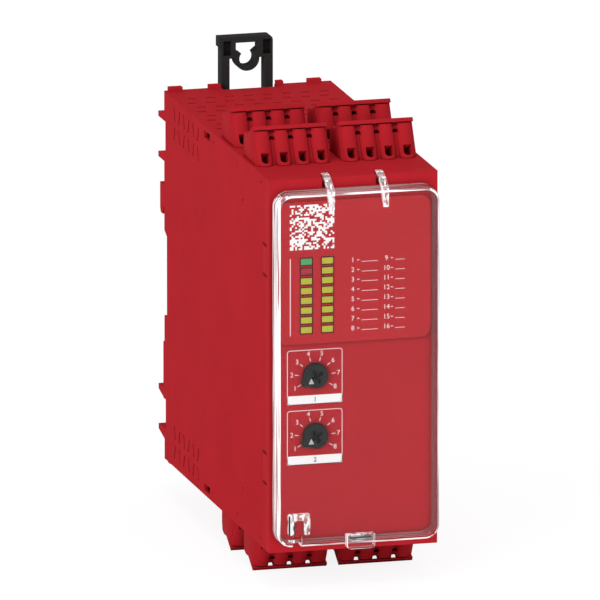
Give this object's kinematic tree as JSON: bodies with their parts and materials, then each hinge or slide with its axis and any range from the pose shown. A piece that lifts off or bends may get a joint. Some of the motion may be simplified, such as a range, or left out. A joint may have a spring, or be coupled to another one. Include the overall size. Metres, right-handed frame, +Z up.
{
  "type": "safety relay",
  "caption": "Slim red safety relay for a mounting rail: hinged clear cover, indicator windows, rotary selectors, plug-in terminal blocks above and below, sprung rail latch.",
  "frame": {"origin": "middle of the rail seat: on the plane that the rail's flanges rest on, at the rail's centre line", "axes": "+X to the right seen from the front, the front looks along -Y, +Z up; +Y points out of the back towards the rail"},
  "size_m": [0.045, 0.1183, 0.1217],
  "materials": {
    "can": "capacitor can",
    "clear": "clear polished",
    "black_plastic": "satin black",
    "board": "circuit board",
    "panel_red": "satin moulded plastic",
    "header_black": "black strip with tinned pins",
    "housing_red": "fine satin moulded plastic",
    "label_red": "semi-gloss printed plate",
    "spring_steel": "drawn wire",
    "lens_red": "clear red window",
    "lens_yellow": "clear yellow window",
    "lens_green": "clear green window",
    "relay_case": "closed relay case",
    "terminal_red": "satin moulded plastic",
    "core": "varnished core and windings"
  },
  "bodies": {
    "base": {"capacitor_lower": "can", "capacitor_upper": "can", "controller_1": "black_plastic", "controller_2": "black_plastic", "display_board": "board", "front_panel": "panel_red", "function_switch": "black_plastic", "header_bottom_left_front": "header_black", "header_bottom_left_rear": "header_black", "header_bottom_right_front": "header_black", "header_bottom_right_rear": "header_black", "header_top_left_front": "header_black", "header_top_left_rear": "header_black", "header_top_right_front": "header_black", "header_top_right_rear": "header_black", "housing_shell": "housing_red", "label_plate": "label_red", "latch_spring": "spring_steel", "left_board": "board", "lens_error": "lens_red", "lens_left_row": "lens_yellow", "lens_power": "lens_green", "lens_right_row": "lens_yellow", "relay_lower_1": "relay_case", "relay_lower_2": "relay_case", "relay_upper_1": "relay_case", "relay_upper_2": "relay_case", "right_board": "board", "start_switch": "black_plastic", "terminal_bottom_left_front": "terminal_red", "terminal_bottom_left_rear": "terminal_red", "terminal_bottom_right_front": "terminal_red", "terminal_bottom_right_rear": "terminal_red", "terminal_top_left_front": "terminal_red", "terminal_top_left_rear": "terminal_red", "terminal_top_right_front": "terminal_red", "terminal_top_right_rear": "terminal_red", "transformer": "core"},
    "cover": {"clear_cover": "clear"},
    "start_selector": {"start_knob": "black_plastic"},
    "function_selector": {"function_knob": "black_plastic"},
    "latch": {"rail_latch": "black_plastic"}
  },
  "joints": [
    {"name": "cover_hinge", "type": "hinge", "parent": "base", "child": "cover", "pos_m": [0, -0.1049, 0.0486], "axis": [-1, 0, 0], "range_deg": [0, 90]},
    {"name": "start_turn", "type": "hinge", "parent": "base", "child": "start_selector", "pos_m": [-0.0102, -0.1062, -0.00285], "axis": [0, 1, 0], "range_deg": [0, 238]},
    {"name": "function_turn", "type": "hinge", "parent": "base", "child": "function_selector", "pos_m": [-0.0102, -0.1062, -0.01885], "axis": [0, 1, 0], "range_deg": [0, 238]},
    {"name": "latch_slide", "type": "slide", "parent": "base", "child": "latch", "axis": [0, 0, -1], "range_m": [0, 0.003], "stiffness_N_per_m": 1200, "springref_m": -0.002, "deforming": ["latch_spring"]}
  ]
}
